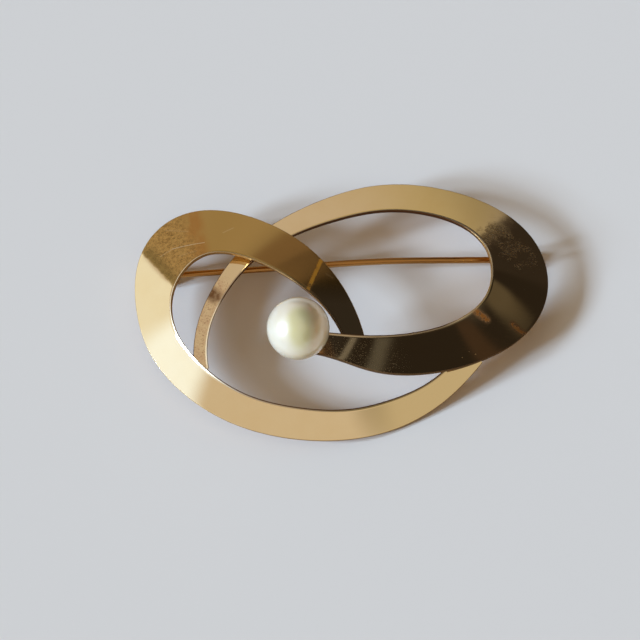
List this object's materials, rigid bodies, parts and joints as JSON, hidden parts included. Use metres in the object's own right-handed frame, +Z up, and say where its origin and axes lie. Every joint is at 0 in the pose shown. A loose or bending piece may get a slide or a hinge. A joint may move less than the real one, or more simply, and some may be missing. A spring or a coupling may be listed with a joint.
{
  "type": "pearl brooch",
  "caption": "Oval brooch of two crossing loops of polished gold ribbon with a pearl where they meet, and a hinged pin with an open hook catch behind.",
  "frame": {"origin": "middle of the footprint on the surface that the brooch lies on", "axes": "+X along the pin from its hinge to its catch, +Y towards the brooch's upper edge, +Z up out of the surface, through the decorated face"},
  "size_m": [0.0504, 0.0336, 0.0147],
  "materials": {
    "polished_gold": "polished yellow gold sheet with fine wear scratches",
    "pearl_nacre": "cream white nacre with a soft lustre",
    "drawn_gold_wire": "drawn yellow gold wire, softly polished",
    "rivet_gold": "filed and tumbled gold"
  },
  "bodies": {
    "brooch": {"ribbon_frame": "polished_gold", "pearl": "pearl_nacre", "hinge_rivet": "rivet_gold"},
    "pin": {"pin_stem": "drawn_gold_wire"}
  },
  "joints": [
    {"name": "pin_swing", "type": "hinge", "parent": "brooch", "child": "pin", "pos_m": [-0.0221, 0.00715, 0.00125], "axis": [0, 1, 0], "range_deg": [0, 100]}
  ]
}
